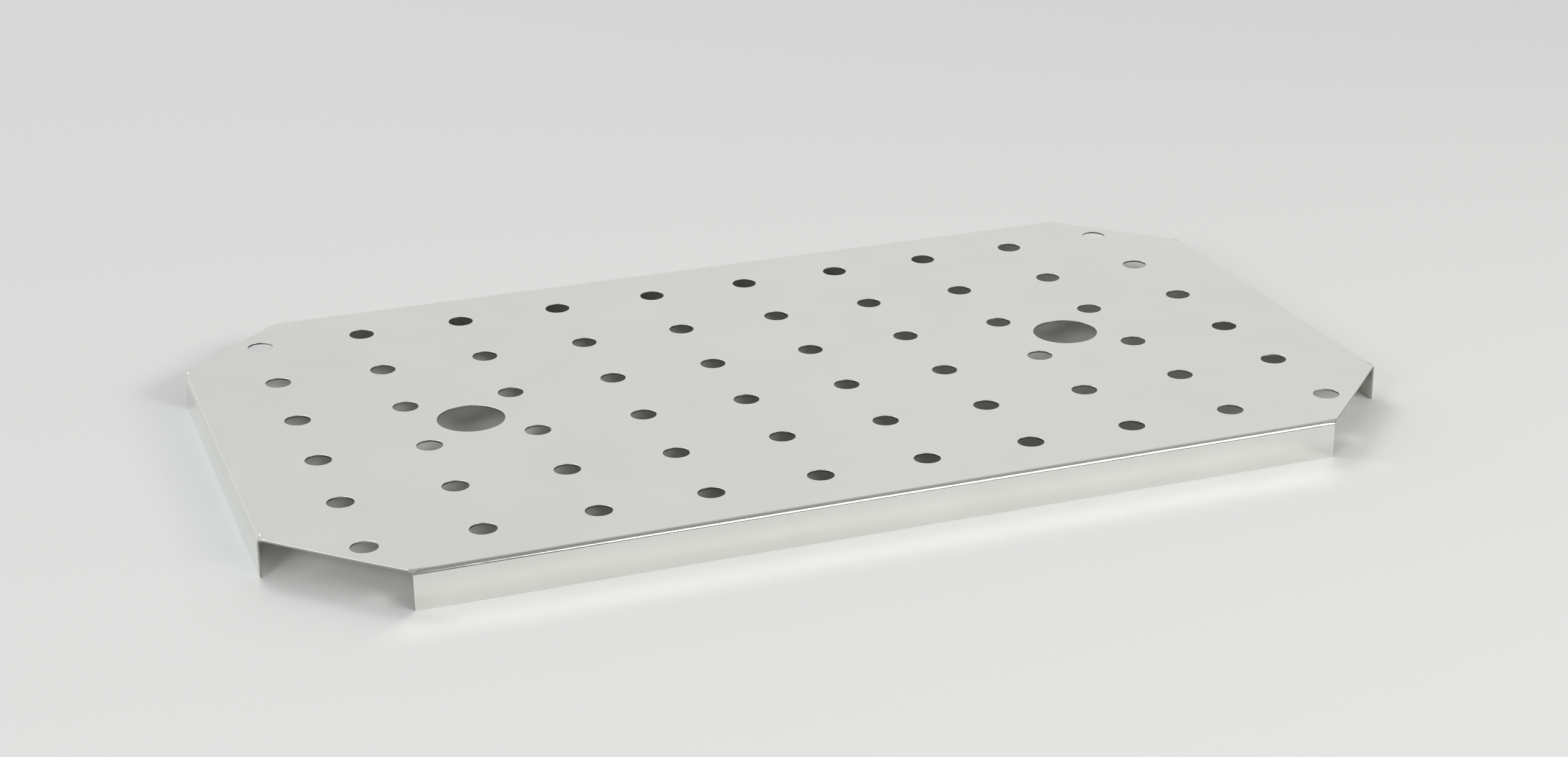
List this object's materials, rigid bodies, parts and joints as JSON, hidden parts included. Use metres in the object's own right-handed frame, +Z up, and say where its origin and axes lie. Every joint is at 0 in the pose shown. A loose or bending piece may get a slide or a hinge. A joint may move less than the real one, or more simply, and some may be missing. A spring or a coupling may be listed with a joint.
{
  "type": "perforated drainer plate",
  "caption": "Eight-sided perforated sheet-metal deck on folded-down side flanges, with two finger holes, that stands food clear of its drippings in a long catering pan.",
  "frame": {"origin": "middle of the plate, on the surface that its flanges stand on", "axes": "+X along the plate's length, +Y across its width, +Z up through the deck"},
  "size_m": [0.477, 0.2714, 0.016],
  "materials": {
    "stainless_steel": "bright cold-rolled mill finish, smooth and lightly mirrored, with no brushing lines"
  },
  "bodies": {
    "root": {"drainer_plate": "stainless_steel"}
  },
  "joints": []
}
